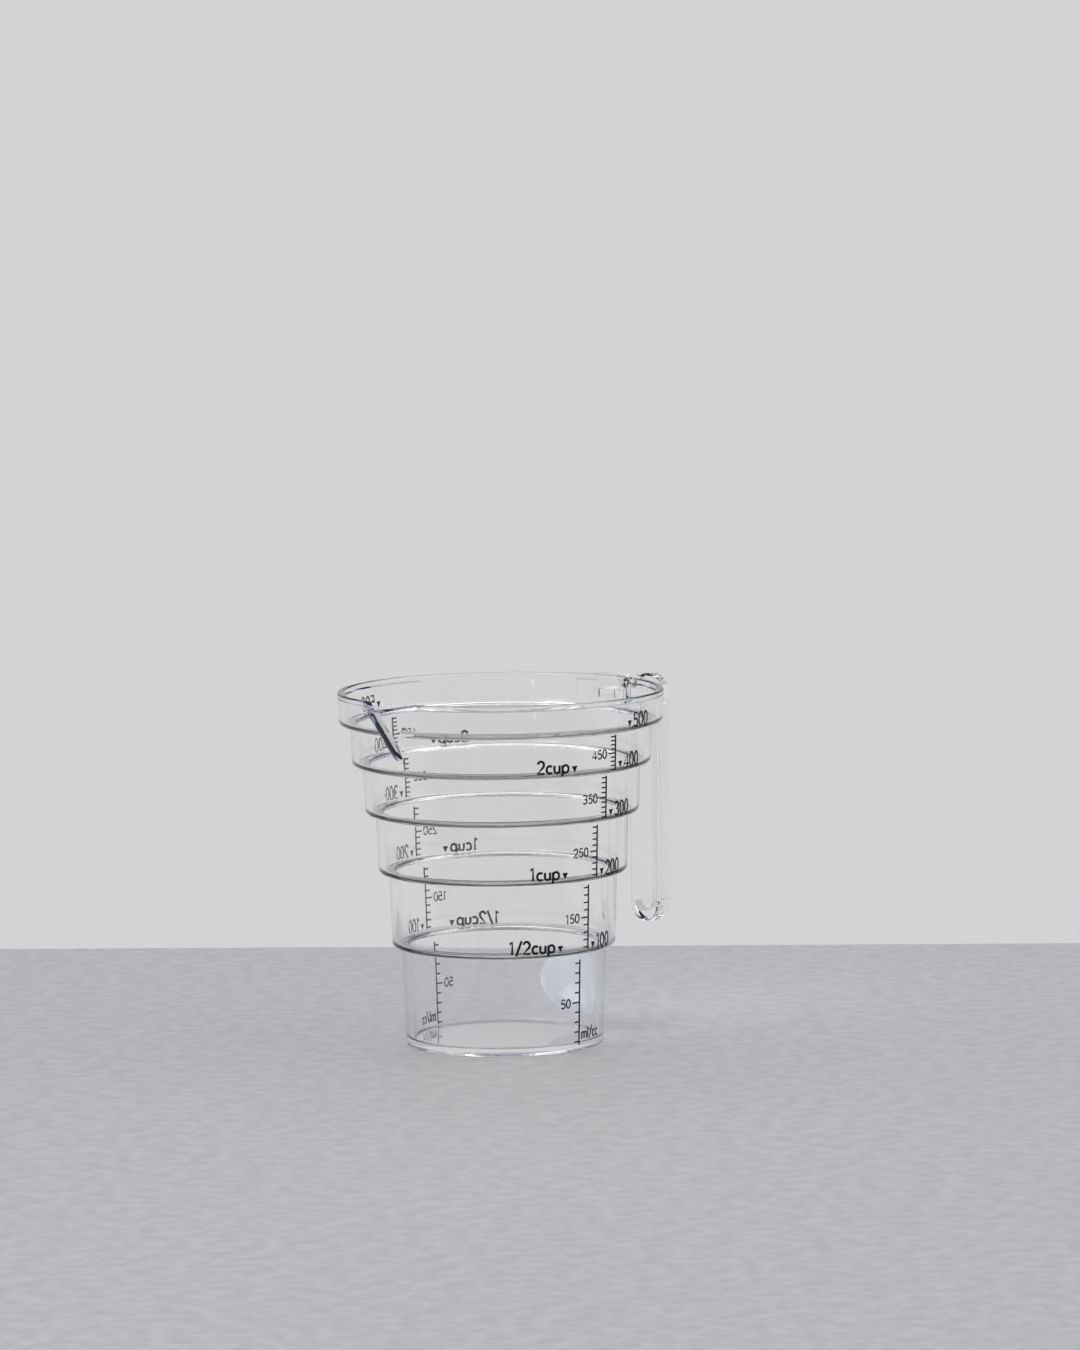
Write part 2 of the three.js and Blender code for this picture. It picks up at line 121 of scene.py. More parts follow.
class Graph:
    """The node tree of one material or of the world."""

    def __init__(self, owner: bpy.types.ID) -> None:
        """Starts an empty tree.

        Args:
            owner: The material or world that the tree belongs to.
        """
        owner.use_nodes = True
        self.tree = owner.node_tree
        self.tree.nodes.clear()
        of_world = isinstance(owner, bpy.types.World)
        self.end = "ShaderNodeOutputWorld" if of_world else "ShaderNodeOutputMaterial"

    def add(
        self, kind: str, settings: dict | None = None, inputs: dict | None = None, out: object = 0
    ) -> Signal:
        """Adds a node.

        Args:
            kind: The node's type.
            settings: Properties to set before the sockets, such as an operation.
            inputs: Values or signals by socket name or number.
            out: Name or number of the output to return.

        Returns:
            The chosen output.
        """
        node = self.tree.nodes.new(kind)
        for name, value in (settings or {}).items():
            setattr(node, name, value)
        for key, value in (inputs or {}).items():
            if isinstance(value, Signal):
                self.tree.links.new(value.socket, node.inputs[key])
            else:
                node.inputs[key].default_value = value
        return Signal(self, node.outputs[out])

    def clouds(self, pattern: Pattern) -> Signal:
        """Adds a cloudy pattern on the piece's own coordinates.

        Args:
            pattern: Its scale, detail, stretch and limits.

        Returns:
            The pattern: around 0.5, or from 0 to 1 where it has limits.
        """
        place = self.add("ShaderNodeTexCoord", out="Object")
        mapped = self.add("ShaderNodeMapping", inputs={"Vector": place, "Scale": pattern.stretch})
        inputs = {"Vector": mapped, "Scale": pattern.scale, "Detail": pattern.detail}
        made = self.add("ShaderNodeTexNoise", inputs=inputs)
        return made.smooth_step(*pattern.limits) if pattern.limits else made

    def blend(self, factor: object, first: object, second: object) -> Signal:
        """Mixes two linear colours or signals, from the first at 0 to the second at 1.

        Args:
            factor: 0 for the first, 1 for the second.
            first: A colour or a signal.
            second: A colour or a signal.

        Returns:
            The mixed colour.
        """
        ends = [end if isinstance(end, Signal) else (*end, 1.0) for end in (first, second)]
        inputs = {0: factor, 6: ends[0], 7: ends[1]}
        return self.add("ShaderNodeMix", {"data_type": "RGBA"}, inputs, out=2)

    def bump(self, height: Signal, depth_mm: float) -> Signal:
        """Turns a height pattern, from 0 to 1, into a normal."""
        inputs = {"Strength": 1.0, "Distance": depth_mm * MM, "Height": height}
        return self.add("ShaderNodeBump", inputs=inputs)

    def output(self, shader: Signal) -> None:
        """Sends a shader to the tree's output."""
        node = self.tree.nodes.new(self.end)
        self.tree.links.new(shader.socket, node.inputs["Surface"])


# Finishes


def srgb(red: int, green: int, blue: int) -> Colour:
    """Turns a screen colour, 0 to 255, into linear light."""
    shares = (red / 255, green / 255, blue / 255)
    return tuple(s / 12.92 if s < 0.04045 else ((s + 0.055) / 1.055) ** 2.4 for s in shares)


@dataclass(frozen=True)
class ClearPlastic:
    """Colourless moulded plastic: clear and glossy, with faint flow marks and fingermarks."""

    name: str = "clear_plastic"
    colour: Colour = (0.996, 0.998, 1.0)
    ior: float = 1.5
    roughness: float = 0.02
    flow_depth: float = 0.004
    flow: Pattern = Pattern(scale=35.0, detail=1.0, stretch=(1.0, 1.0, 0.3))
    mark_depth: float = 0.002
    marks: Pattern = Pattern(scale=400.0, detail=4.0, limits=(0.55, 0.75))
    shadow_tint: Colour = (0.95, 0.955, 0.96)

    def make(self) -> bpy.types.Material:
        """Builds the material; light on its way from a lamp passes straight through it.

        Returns:
            The material.
        """
        material = bpy.data.materials.new(self.name)
        graph = Graph(material)
        marks = graph.clouds(self.marks) * (self.mark_depth / self.flow_depth)
        inputs = {
            "Base Color": (*self.colour, 1.0),
            "Roughness": self.roughness,
            "IOR": self.ior,
            "Transmission Weight": 1.0,
            "Normal": graph.bump(graph.clouds(self.flow) + marks, self.flow_depth),
        }
        body = graph.add("ShaderNodeBsdfPrincipled", inputs=inputs)
        clear = graph.add("ShaderNodeBsdfTransparent", inputs={"Color": (*self.shadow_tint, 1.0)})
        lamp_ray = graph.add("ShaderNodeLightPath", out="Is Shadow Ray")
        graph.output(graph.add("ShaderNodeMixShader", inputs={0: lamp_ray, 1: body, 2: clear}))
        return material


@dataclass(frozen=True)
class PrintInk:
    """Black screen-printing ink: satin, a little uneven in cover."""

    name: str = "black_ink"
    deep: Colour = srgb(12, 13, 14)
    thin: Colour = srgb(28, 30, 32)
    cover: Pattern = Pattern(scale=900.0, detail=3.0, limits=(0.35, 0.7))
    roughness: float = 0.42
    unevenness: float = 0.2
    gloss: float = 0.25
    grain: Pattern = Pattern(scale=6000.0, detail=2.0)
    grain_depth: float = 0.006

    def make(self) -> bpy.types.Material:
        """Builds the material.

        Returns:
            The material.
        """
        material = bpy.data.materials.new(self.name)
        graph = Graph(material)
        grain = graph.clouds(self.grain)
        inputs = {
            "Base Color": graph.blend(graph.clouds(self.cover), self.deep, self.thin),
            "Roughness": grain * self.unevenness + self.roughness,
            "Specular IOR Level": self.gloss,
            "Normal": graph.bump(grain, self.grain_depth),
        }
        graph.output(graph.add("ShaderNodeBsdfPrincipled", inputs=inputs))
        return material


@dataclass(frozen=True)
class LabelPaper:
    """White label paper with a fine grain and a slightly shaded patch where it lies on the wall."""

    name: str = "white_paper"
    white: Colour = srgb(232, 235, 244)
    shade: Colour = srgb(224, 227, 238)
    patches: Pattern = Pattern(scale=60.0, detail=2.0, limits=(0.35, 0.7))
    roughness: float = 0.6
    unevenness: float = 0.2
    fibres: Pattern = Pattern(scale=2500.0, detail=4.0, stretch=(1.0, 1.0, 0.4))
    grain_depth: float = 0.01

    def make(self) -> bpy.types.Material:
        """Builds the material.

        Returns:
            The material.
        """
        material = bpy.data.materials.new(self.name)
        graph = Graph(material)
        fibres = graph.clouds(self.fibres)
        inputs = {
            "Base Color": graph.blend(graph.clouds(self.patches), self.white, self.shade),
            "Roughness": fibres * self.unevenness + self.roughness,
            "Normal": graph.bump(fibres, self.grain_depth),
        }
        graph.output(graph.add("ShaderNodeBsdfPrincipled", inputs=inputs))
        return material


# Mesh building


def arc(centre: Point, radius: float, start: float, end: float, segments: int) -> list[Point]:
    """Points of a flat arc between two angles in radians, both ends included."""
    angles = (start + (end - start) * i / segments for i in range(segments + 1))
    return [(centre[0] + radius * math.cos(a), centre[1] + radius * math.sin(a)) for a in angles]


def new_object(bm: bmesh.types.BMesh, name: str) -> bpy.types.Object:
    """Turns a bmesh into an object in the scene.

    Args:
        bm: The mesh being built, which is freed.
        name: The object's name.

    Returns:
        The new object.
    """
    mesh = bpy.data.meshes.new(name)
    bm.to_mesh(mesh)
    bm.free()
    made = bpy.data.objects.new(name, mesh)
    bpy.context.scene.collection.objects.link(made)
    return made


def weigh_normals(piece: bpy.types.Object) -> None:
    """Keeps wide faces flat up to their rounded edges, so that clear walls don't act as lenses.

    Args:
        piece: The object, in millimetres.
    """
    modifier = piece.modifiers.new("flat_faces", "WEIGHTED_NORMAL")
    modifier.mode = "FACE_AREA_WITH_ANGLE"
    modifier.keep_sharp = True
    graph = bpy.context.evaluated_depsgraph_get()
    piece.data = bpy.data.meshes.new_from_object(piece.evaluated_get(graph))
    piece.modifiers.clear()


def dress(
    piece: bpy.types.Object, material: bpy.types.Material, replaced: Iterable[str]
) -> bpy.types.Object:
    """Scales a piece to metres and gives it its material and its place in the part.

    Args:
        piece: The object, in millimetres.
        material: Its finish.
        replaced: CAD nodes that it stands for.

    Returns:
        The same object.
    """
    piece.data.polygons.foreach_set("use_smooth", [True] * len(piece.data.polygons))
    piece.data.set_sharp_from_angle(angle=SHARP_ANGLE)
    weigh_normals(piece)
    piece.data.transform(Matrix.Scale(MM, 4))
    piece.data.materials.clear()
    piece.data.materials.append(material)
    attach(piece, BODY)
    if replaced:
        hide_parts(*replaced)
    return piece


class Solid:
    """A closed mesh that others can be joined to and cut from."""

    def __init__(self, bm: bmesh.types.BMesh) -> None:
        """Takes a finished closed bmesh, which is freed."""
        bmesh.ops.recalc_face_normals(bm, faces=bm.faces)
        self.object = new_object(bm, "solid")

    @classmethod
    def turned(cls, profile: Sequence[Point], steps: int) -> "Solid":
        """Turns a profile about the vertical axis.

        Args:
            profile: Radius and height of each point, from the axis back to the axis.
            steps: Sides of the round shape.

        Returns:
            The turned solid.
        """
        bm = bmesh.new()
        verts = [bm.verts.new((radius, 0, height)) for radius, height in profile]
        edges = [bm.edges.new(pair) for pair in zip(verts, verts[1:])]
        turn = {"cent": (0, 0, 0), "axis": (0, 0, 1), "angle": 2 * math.pi, "steps": steps}
        bmesh.ops.spin(bm, geom=verts + edges, use_merge=True, **turn)
        bmesh.ops.remove_doubles(bm, verts=bm.verts, dist=TINY)
        return cls(bm)

    @classmethod
    def pushed(cls, outline: Sequence[Point], depth: float, place: Matrix) -> "Solid":
        """Pushes a flat outline along its own Z.

        Args:
            outline: The outline's points.
            depth: How far it is pushed.
            place: Where the outline's X, Y and Z lie in the part.

        Returns:
            The pushed solid.
        """
        bm = bmesh.new()
        face = bm.faces.new([bm.verts.new((x, y, 0)) for x, y in outline])
        grown = bmesh.ops.extrude_face_region(bm, geom=[face])
        moved = [v for v in grown["geom"] if isinstance(v, bmesh.types.BMVert)]
        bmesh.ops.translate(bm, vec=(0, 0, depth), verts=moved)
        bmesh.ops.transform(bm, matrix=place, verts=bm.verts)
        return cls(bm)

    def bevelled(
        self, width: float, segments: int, chosen: Callable[[bmesh.types.BMEdge], bool]
    ) -> "Solid":
        """Rounds the sharp edges that a test picks.

        Args:
            width: How far the rounding reaches from the edge.
            segments: Steps in the rounding.
            chosen: Tells whether an edge is rounded.

        Returns:
            This solid.
        """
        bm = bmesh.new()
        bm.from_mesh(self.object.data)
        folds = (edge for edge in bm.edges if len(edge.link_faces) == 2 and chosen(edge))
        sharp = [edge for edge in folds if edge.calc_face_angle() > SHARP_ANGLE]
        settings = {"affect": "EDGES", "offset_type": "OFFSET", "profile": 0.5, "material": -1}
        tidy = {"clamp_overlap": True, "loop_slide": True}
        bmesh.ops.bevel(bm, geom=sharp, offset=width, segments=segments, **settings, **tidy)
        bm.to_mesh(self.object.data)
        bm.free()
        return self

    def _combine(self, other: "Solid", operation: str) -> "Solid":
        """Joins or cuts with another solid, which is used up.

        Args:
            other: The other solid.
            operation: UNION, DIFFERENCE or INTERSECT.

        Returns:
            This solid.
        """
        modifier = self.object.modifiers.new("combine", "BOOLEAN")
        modifier.operation = operation
        modifier.solver = "EXACT"
        modifier.object = other.object
        graph = bpy.context.evaluated_depsgraph_get()
        mesh = bpy.data.meshes.new_from_object(self.object.evaluated_get(graph))
        self.object.modifiers.clear()
        self.object.data = mesh
        bpy.data.objects.remove(other.object)
        return self

    def welded(self) -> "Solid":
        """Merges the points that the cuts left a hair apart.

        Returns:
            This solid.
        """
        bm = bmesh.new()
        bm.from_mesh(self.object.data)
        bmesh.ops.remove_doubles(bm, verts=bm.verts, dist=SEAM_GAP_MM)
        bmesh.ops.dissolve_degenerate(bm, edges=bm.edges, dist=SEAM_GAP_MM / 2)
        bm.to_mesh(self.object.data)
        bm.free()
        return self

    def join(self, other: "Solid") -> "Solid":
        """Adds another solid to this one."""
        return self._combine(other, "UNION")

    def cut(self, other: "Solid") -> "Solid":
        """Takes another solid out of this one."""
        return self._combine(other, "DIFFERENCE")

    def keep(self, other: "Solid") -> "Solid":
        """Keeps what lies inside another solid too."""
        return self._combine(other, "INTERSECT")


# The cup's shape


@dataclass(frozen=True)
class CupShape:
    """The stepped wall, turned about the vertical axis; every step adds the same volume."""

    step_volume: float = 100_000.0  # cubic millimetres between two ledges
    steps: int = 5
    base_radius: float = 33.3
    rim_tier_radius: float = 54.6
    first_step_extra: float = 0.2  # how much further out the first step goes than the others
    wall: float = 2.5
    floor: float = 2.5
    ledge: float = 1.5
    freeboard: float = 9.8  # from the last ledge up to the rim
    draft: float = math.radians(1.8)
    edge_round: float = 1.7
    foot_round: float = 0.4
    foot_ring: float = 2.6
    foot_hollow: float = 0.7
    ledge_round: float = 0.8
    rim_round: float = 0.8
    seat_height: float = 2.1  # a shallow recess all round inside the rim
    seat_depth: float = 0.5
    sides: int = 192
    round_steps: int = 6
    margin: float = 5.0  # how far cutting shapes stick out

    @cached_property
    def lean(self) -> float:
        """Radius gained per height."""
        return math.tan(self.draft)

    @cached_property
    def foot_radii(self) -> list[float]:
        """Outer radius at the foot of each tier, from the base to the rim tier.

        Returns:
            The radii.
        """
        out = (self.rim_tier_radius - self.base_radius - self.first_step_extra) / self.steps
        upper = [self.rim_tier_radius - (self.steps - tier) * out for tier in range(1, self.steps + 1)]
        return [self.base_radius, *upper]

    @cached_property
    def ledges(self) -> list[float]:
        """Height of the floor and of each ledge, which are the levels of the scale.

        Returns:
            The heights.
        """
        heights = [self.floor]
        for tier in range(self.steps):
            thickness = self.ledge if tier else self.floor
            radius = self.foot_radii[tier] + thickness * self.lean - self.wall
            cubed = radius**3 + 3 * self.step_volume * self.lean / math.pi
            heights.append(heights[-1] + (cubed ** (1 / 3) - radius) / self.lean)
        return heights

    @cached_property
    def tier_feet(self) -> list[float]:
        """Height of the foot of each tier, and then of the rim."""
        return [0.0, *(level - self.ledge for level in self.ledges[1:]), self.rim]

    @cached_property
    def rim(self) -> float:
        """Height of the rim."""
        return self.ledges[-1] + self.freeboard

    @cached_property
    def rim_radius(self) -> float:
        """Outer radius at the rim."""
        return self.outer_radius(self.steps, self.rim)

    def outer_radius(self, tier: int, height: float) -> float:
        """Outer radius of a tier at a height."""
        return self.foot_radii[tier] + (height - self.tier_feet[tier]) * self.lean

    def inner_radius(self, tier: int, height: float) -> float:
        """Inner radius of a tier at a height."""
        return self.outer_radius(tier, height) - self.wall

    def corner(self, x: float, z: float, radius: float, start: float) -> list[Point]:
        """A quarter round, turned anticlockwise from a start in quarter turns."""
        quarter = math.pi / 2
        return arc((x, z), radius, start * quarter, (start + 1) * quarter, self.round_steps)

    def outside(self) -> list[Point]:
        """Profile of the cup as if it were full, from the axis past the foot ring to the rim.

        Returns:
            Radius and height of each point.
        """
        ring = self.base_radius - self.foot_ring
        points = [(0.0, self.foot_hollow), (ring - self.foot_hollow, self.foot_hollow), (ring, 0.0)]
        for tier in range(self.steps + 1):
            edge = self.edge_round if tier else self.foot_round
            foot = self.tier_feet[tier]
            points += self.corner(self.foot_radii[tier] - edge, foot + edge, edge, -1)
            if tier < self.steps:
                top = self.tier_feet[tier + 1]
                points.append((self.outer_radius(tier, top), top))
        edge = self.rim_round
        points += self.corner(self.rim_radius - edge, self.rim - edge, edge, 0)
        return [*points, (0.0, self.rim)]

    def inside(self) -> list[Point]:
        """Profile of the room in the cup, from the axis on the floor to the axis over the rim.

        Returns:
            Radius and height of each point.
        """
        points = [(0.0, self.floor)]
        edge = self.ledge_round
        for tier in range(self.steps + 1):
            low = self.ledges[tier] + edge
            points += self.corner(self.inner_radius(tier, low) - edge, low, edge, -1)
            if tier < self.steps:
                high = self.ledges[tier + 1] - edge
                points += reversed(self.corner(self.inner_radius(tier, high) + edge, high, edge, 1))
        seat_foot = self.rim - self.seat_height
        seat_radius = self.inner_radius(self.steps, self.rim) + self.seat_depth
        points.append((self.inner_radius(self.steps, seat_foot), seat_foot))
        points.append((seat_radius, seat_foot + self.seat_depth))
        edge = self.rim_round
        points += reversed(self.corner(seat_radius + edge, self.rim - edge, edge, 1))
        over = self.rim + self.margin
        return [*points, (seat_radius + edge, over), (0.0, over)]


@dataclass(frozen=True)
class PouringLip:
    """A V pressed out of the rim, with a straight keel that runs down to the tier below."""

    cup: CupShape
    half_angle: float = math.radians(14)
    reach: float = 9.9
    drop: float = 2.8  # from the rim down to the lip's tip
    keel_height: float = 21.5
    keel_round: float = 1.6
    keel_outer_round: float = 4.1
    overrun: float = 3.0
    round_steps: int = 10

    @property
    def tip(self) -> Vector:
        """The lip's outermost point."""
        return Vector((-(self.cup.rim_radius + self.reach), 0, self.cup.rim - self.drop))

    @property
    def side(self) -> Vector:
        """Where the lip's edge leaves the rim.

        Returns:
            The point on the +Y side.
        """
        radius = self.cup.rim_radius
        x, y = -radius * math.cos(self.half_angle), radius * math.sin(self.half_angle)
        return Vector((x, y, self.cup.rim))

    @property
    def keel(self) -> Vector:
        """The keel, from its foot up to the tip."""
        height = self.cup.rim - self.keel_height
        return self.tip - Vector((-self.cup.outer_radius(self.cup.steps - 1, height), 0, height))

    @property
    def half_opening(self) -> float:
        """Half of the angle between the two flanks, seen along the keel.

        Returns:
            The angle in radians.
        """
        up = self.keel.normalized()
        flank = self.side - self.tip
        return math.atan2(flank.y, flank.dot(Vector((up.z, 0, -up.x))))

    def bar(self, moved: float, rounding: float) -> Solid:
        """A V-shaped bar along the keel.

        Args:
            moved: How far it is moved inwards from the outer flanks.
            rounding: Radius along its keel.

        Returns:
            The bar.
        """
        up = self.keel.normalized()
        inwards = Vector((up.z, 0, -up.x))
        back = self.reach + self.cup.margin
        opening = back * math.tan(self.half_opening)
        centre = (rounding / math.sin(self.half_opening), 0.0)
        start = 1.5 * math.pi - self.half_opening
        end = 0.5 * math.pi + self.half_opening
        keel_edge = arc(centre, rounding, start, end, self.round_steps)
        outline = [(back, -opening), *keel_edge, (back, opening)]
        low = self.tip - self.keel - up * self.overrun + inwards * moved
        place = Matrix.Translation(low) @ Matrix((inwards, (0, 1, 0), up)).transposed().to_4x4()
        return Solid.pushed(outline, self.keel.length + self.overrun + 2 * self.cup.margin, place)

    def under_edge(self) -> Solid:
        """Everything under the lip's upper edge, which slopes from the rim down to the tip.

        Returns:
            The solid to keep the lip within.
        """
        slope = (self.side.z - self.tip.z) / (self.side.x - self.tip.x)
        far = self.tip.x - self.cup.margin
        far_height = self.cup.rim + (far - self.side.x) * slope
        outline = [(0, 0), (0, self.cup.rim), (self.side.x, self.cup.rim), (far, far_height), (far, 0)]
        width = 2 * self.cup.rim_radius
        place = Matrix.Translation((0, width / 2, 0)) @ Matrix.Rotation(math.pi / 2, 4, "X")
        return Solid.pushed(outline, width, place)

    def outer(self) -> Solid:
        """The lip as a full shape, to be joined to the cup."""
        return self.bar(0.0, self.keel_outer_round).keep(self.under_edge())

    def channel(self) -> Solid:
        """The hollow of the lip."""
        return self.bar(self.cup.wall / math.sin(self.half_opening), self.keel_round)


@dataclass(frozen=True)
class HookHandle:
    """A bridge with two ribs at the rim, and a grip with a pocket that hangs from it."""

    cup: CupShape
    finger_gap: float = 16.5
    depth: float = 8.2
    width: float = 12.5
    length: float = 86.1
    top_drop: float = 1.3  # from the rim down to the grip's top
    skin: float = 4.7  # the grip's thickness behind its pocket
    top_round: float = 2.4
    pocket_wall: float = 2.4
    pocket_floor: float = 3.9
    bridge_drop: float = 5.0  # from the rim down to the tray between the ribs
    bridge_thickness: float = 2.9
    bridge_fillet: float = 8.5
    elbow_fillet: float = 4.0
    rib_thickness: float = 2.2
    rib_reach: float = 5.5  # from the rim out to where the ribs curve down
    rib_round: float = 9.5
    edge_round: float = 1.5
    edge_steps: int = 4
    crease_round: float = 0.3
    crease_steps: int = 2
    root_margin: float = 1.0  # no crease is rounded nearer the cup than this
    rib_step_down: float = 0.06
    overlap: float = 0.02
    round_steps: int = 12

    @property
    def inner_x(self) -> float:
        """The grip's face towards the cup."""
        return self.cup.rim_radius + self.finger_gap

    @property
    def outer_x(self) -> float:
        """The grip's face away from the cup."""
        return self.inner_x + self.depth

    @property
    def skin_x(self) -> float:
        """The bottom of the grip's pocket."""
        return self.outer_x - self.skin

    @property
    def top(self) -> float:
        """Height of the grip's top."""
        return self.cup.rim - self.top_drop

    @property
    def bottom(self) -> float:
        """Height of the grip's bottom."""
        return self.top - self.length

    @property
    def bridge_top(self) -> float:
        """Height of the bridge's upper face."""
        return self.cup.rim - self.bridge_drop

    @property
    def root_x(self) -> float:
        """Where the bridge starts, inside the cup's wall."""
        return self.cup.rim_radius - self.cup.wall / 2

    def side_outline(self) -> list[Point]:
        """The hook seen from the side, in length and height.

        Returns:
            The outline.
        """
        quarter = math.pi / 2
        low = self.bridge_top - self.bridge_thickness
        elbow = (self.inner_x - self.elbow_fillet, low - self.elbow_fillet)
        rim = self.cup.rim - self.rib_step_down
        top_centre = (self.outer_x - self.top_round, self.top - self.top_round)
        top_radius = self.top_round + self.overlap
        rib_centre = (self.cup.rim_radius + self.rib_reach, rim - self.rib_round)
        foot = math.asin((self.bridge_top - rib_centre[1]) / self.rib_round)
        return [
            (self.root_x - self.cup.margin, low),
            *arc(elbow, self.elbow_fillet, quarter, 0, self.round_steps),
            (self.inner_x, self.bottom - self.overlap),
            (self.outer_x + self.overlap, self.bottom - self.overlap),
            *arc(top_centre, top_radius, 0, quarter, self.round_steps),
            (self.skin_x, self.top + self.overlap),
            (self.skin_x, self.bridge_top),
            *arc(rib_centre, self.rib_round, foot, quarter, self.round_steps),
            (self.root_x - self.cup.margin, rim),
        ]

    def plan_outline(self, inset: float, end_x: float) -> list[Point]:
        """The bridge from above; it widens into the cup's wall in two hollow rounds.

        Args:
            inset: How far it is moved in from its sides.
            end_x: Where it ends, away from the cup.

        Returns:
            The outline.
        """
        half = self.width / 2
        centre_y = half + self.bridge_fillet
        centre_x = math.sqrt((self.cup.rim_radius + self.bridge_fillet) ** 2 - centre_y**2)
        lean = math.atan2(centre_y, centre_x)
        radius = self.bridge_fillet + inset
        start = self.root_x - inset
        near = arc((centre_x, -centre_y), radius, math.pi - lean, math.pi / 2, self.round_steps)
        lower = [(start * math.cos(lean), -start * math.sin(lean)), *near, (end_x, -half + inset)]
        return [*lower, *((x, -y) for x, y in reversed(lower))]

    def capsule(self, half: float, bottom: float, top: float) -> list[Point]:
        """A long outline with round ends, from its half width and its lowest and highest height."""
        upper = arc((0, top - half), half, 0, math.pi, 2 * self.round_steps)
        return [*upper, *arc((0, bottom + half), half, math.pi, 2 * math.pi, 2 * self.round_steps)]

    def along_x(self, outline: Sequence[Point], start: float, end: float) -> Solid:
        """Pushes an outline in width and height along X."""
        turn = Matrix(((0, 0, 1), (1, 0, 0), (0, 1, 0))).to_4x4()
        return Solid.pushed(outline, end - start, Matrix.Translation((start, 0, 0)) @ turn)

    def upwards(self, outline: Sequence[Point], low: float, high: float) -> Solid:
        """Pushes an outline in X and Y up from one height to another."""
        return Solid.pushed(outline, high - low, Matrix.Translation((0, 0, low)))

    def solid(self) -> Solid:
        """The whole handle, with its root inside the cup's wall.

        Returns:
            The handle.
        """
        half = self.width / 2
        over = self.cup.rim + self.cup.margin
        elbow_bottom = self.bridge_top - self.bridge_thickness - self.elbow_fillet
        grip = self.along_x(self.capsule(half, self.bottom, self.top), self.inner_x, self.outer_x)
        grip.bevelled(
            self.edge_round, self.edge_steps, lambda e: abs(e.verts[0].co.x - e.verts[1].co.x) < TINY
        )
        in_grip = (self.inner_x + self.skin_x) / 2
        bridge = self.upwards(self.plan_outline(0, in_grip), elbow_bottom, over)
        width = 4 * half + 4 * self.bridge_fillet
        turn = Matrix.Translation((0, width / 2, 0)) @ Matrix.Rotation(math.pi / 2, 4, "X")
        side = Solid.pushed(self.side_outline(), width, turn)
        rib_foot = self.cup.rim_radius + self.rib_reach + self.rib_round
        tray = self.upwards(self.plan_outline(self.rib_thickness, rib_foot), self.bridge_top, over)
        hollow = self.capsule(half - self.pocket_wall, self.bottom + self.pocket_floor, elbow_bottom)
        pocket = self.along_x(hollow, self.inner_x - self.cup.margin, self.skin_x)
        made = grip.join(bridge).keep(side).cut(tray).cut(pocket)
        root = self.cup.rim_radius + self.root_margin
        return made.bevelled(
            self.crease_round, self.crease_steps, lambda e: min(v.co.x for v in e.verts) > root
        )


class ClearMoulding:
    """The cup, its pouring lip and its hook handle, moulded in one piece of clear plastic."""

    def __init__(self, cup: CupShape, finish: ClearPlastic) -> None:
        """Takes the shape and the finish.

        Args:
            cup: The stepped wall.
            finish: The plastic.
        """
        self.cup = cup
        self.lip = PouringLip(cup)
        self.handle = HookHandle(cup)
        self.finish = finish

    def build(self) -> list[bpy.types.Object]:
        """Models and dresses the moulding.

        Returns:
            The one piece, in a list.
        """
        body = Solid.turned(self.cup.outside(), self.cup.sides)
        body.join(self.lip.outer()).join(self.handle.solid())
        body.cut(Solid.turned(self.cup.inside(), self.cup.sides)).cut(self.lip.channel())
        piece = body.welded().object
        piece.name = "clear_moulding"
        return [dress(piece, self.finish.make(), ["cup_body", "handle"])]


# Print and label


class Side(Enum):
    """The two printed sides of the cup, with their place round the axis in degrees from +X."""

    NEAR = -90.0
    FAR = 90.0


def curve_points(centre: Point, radii: Point, start: float, end: float, steps: int = 14) -> list[Point]:
    """Points of part of an ellipse between two angles in degrees, both ends included."""
    angles = [math.radians(start + (end - start) * i / steps) for i in range(steps + 1)]
    return [(centre[0] + radii[0] * math.cos(a), centre[1] + radii[1] * math.sin(a)) for a in angles]


@dataclass(frozen=True)
class Glyph:
    """One figure or letter drawn with strokes, in shares of the figures' height."""

    advance: float
    strokes: tuple[tuple[Point, ...], ...]


def glyph(advance: float, *strokes: Sequence[Point]) -> Glyph:
    """Makes a glyph from its strokes and the distance to the next one."""
    return Glyph(advance, tuple(tuple(stroke) for stroke in strokes))


